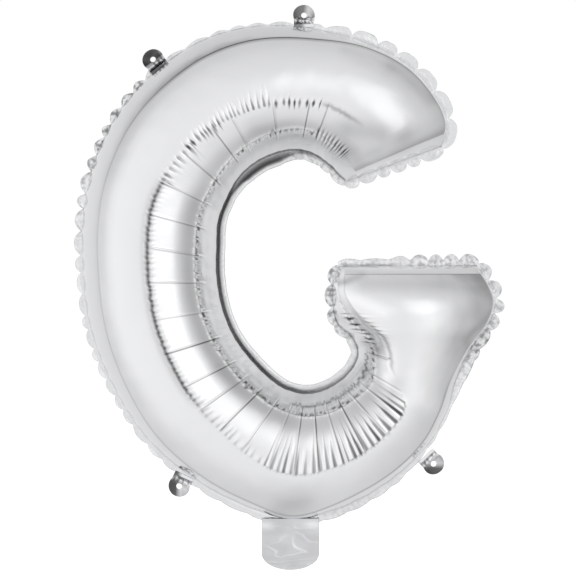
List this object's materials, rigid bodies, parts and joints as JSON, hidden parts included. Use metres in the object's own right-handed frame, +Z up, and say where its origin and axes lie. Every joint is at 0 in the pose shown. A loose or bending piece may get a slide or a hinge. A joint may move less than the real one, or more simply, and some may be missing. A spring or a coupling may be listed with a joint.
{
  "type": "letter foil balloon",
  "caption": "Inflated silver foil balloon in the shape of the letter G, with a welded margin, tabs with holes to hang it by, and a filler tail.",
  "frame": {"origin": "centre of the hole in the top hanging tab, which holds the balloon up", "axes": "+Z up along the letter's height, +X to the letter's right as it is read, -Y towards the reader; the welded margin lies in the plane y = 0"},
  "size_m": [0.3012, 0.0624, 0.3956],
  "materials": {
    "panel_foil": "silver metallised film, smooth and mirror bright",
    "weld_foil": "silver metallised film, finely crinkled by the heat seal",
    "tab_foil": "silver metallised film, flat and mirror bright",
    "tail_foil": "silver metallised film, softly crumpled",
    "valve_film": "thin milky polyethylene film"
  },
  "bodies": {
    "balloon": {"front_panel": "panel_foil", "back_panel": "panel_foil", "outer_weld": "weld_foil", "bar_weld": "weld_foil", "inner_weld": "weld_foil", "terminal_weld": "weld_foil", "eyelet_top": "tab_foil"},
    "filler_tail": {"tail_front_film": "tail_foil", "tail_back_film": "tail_foil", "valve_sleeve": "valve_film"},
    "upper_left_tab": {"eyelet_upper_left": "tab_foil"},
    "lower_left_tab": {"eyelet_lower_left": "tab_foil"},
    "lower_right_tab": {"eyelet_lower_right": "tab_foil"}
  },
  "joints": [
    {"name": "tail_fold", "type": "hinge", "parent": "balloon", "child": "filler_tail", "pos_m": [-0.0095, 0, -0.357], "axis": [1, 0, 0], "range_deg": [-100, 100], "stiffness_Nm_per_rad": 0.0004},
    {"name": "upper_left_tab_fold", "type": "hinge", "parent": "balloon", "child": "upper_left_tab", "pos_m": [-0.10191, 0, -0.03571], "axis": [0.7915, 0, 0.6112], "range_deg": [-90, 90], "stiffness_Nm_per_rad": 0.00008},
    {"name": "lower_left_tab_fold", "type": "hinge", "parent": "balloon", "child": "lower_left_tab", "pos_m": [-0.08447, 0, -0.32336], "axis": [-0.9023, 0, 0.4311], "range_deg": [-90, 90], "stiffness_Nm_per_rad": 0.00008},
    {"name": "lower_right_tab_fold", "type": "hinge", "parent": "balloon", "child": "lower_right_tab", "pos_m": [0.08621, 0, -0.30924], "axis": [-0.7121, 0, -0.7021], "range_deg": [-90, 90], "stiffness_Nm_per_rad": 0.00008}
  ]
}
